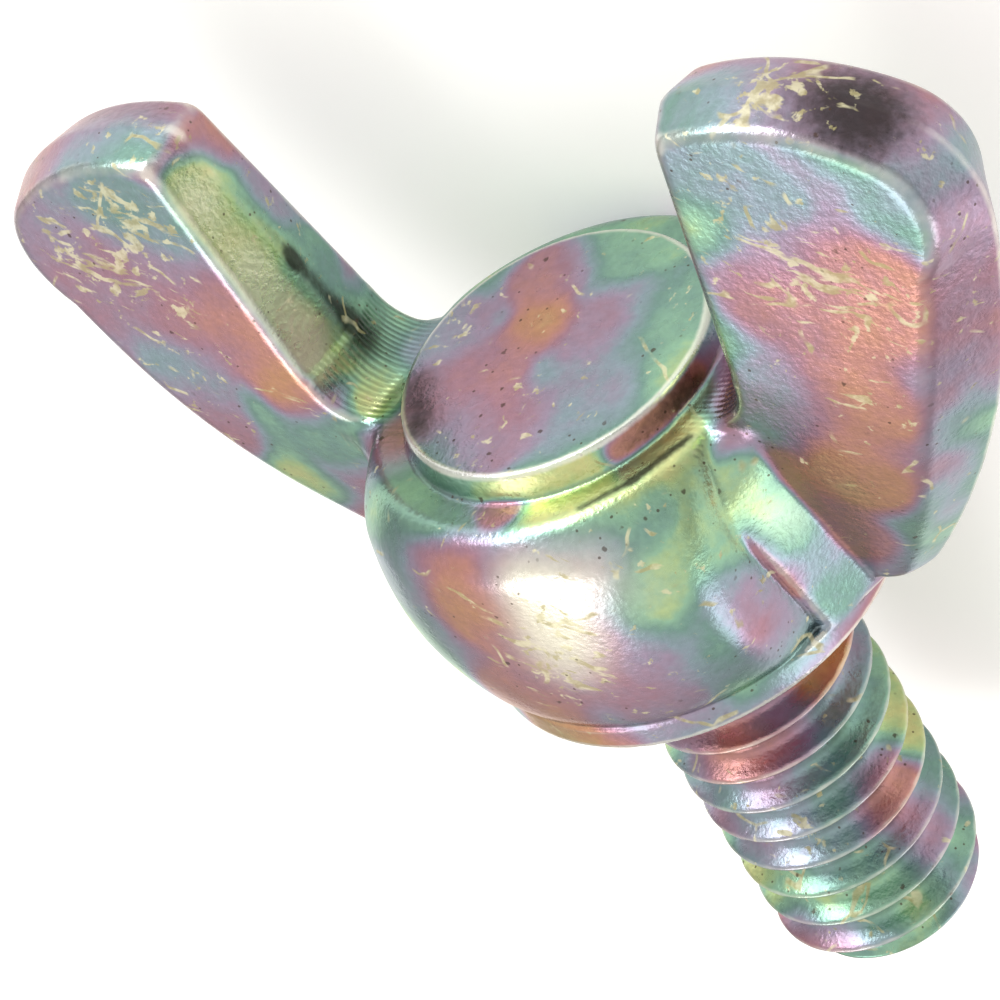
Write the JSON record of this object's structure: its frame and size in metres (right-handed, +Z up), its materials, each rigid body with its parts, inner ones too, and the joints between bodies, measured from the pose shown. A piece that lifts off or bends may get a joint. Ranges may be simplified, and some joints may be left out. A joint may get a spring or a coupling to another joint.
{
  "type": "wing bolt",
  "caption": "Wing bolt, cold forged in one piece: a short threaded shank under a rounded hub with two raised thumb wings.",
  "frame": {"origin": "middle of the rectangle that the bolt covers, on the surface it lies on", "axes": "+Y along the shank, from the head to the point; +X across the wings; +Z up"},
  "size_m": [0.028, 0.0301, 0.0124],
  "materials": {
    "chromate": "zinc plate with yellow iridescent chromate, semi-gloss, stained and finely pitted"
  },
  "bodies": {
    "root": {"wing_bolt": "chromate"}
  },
  "joints": []
}
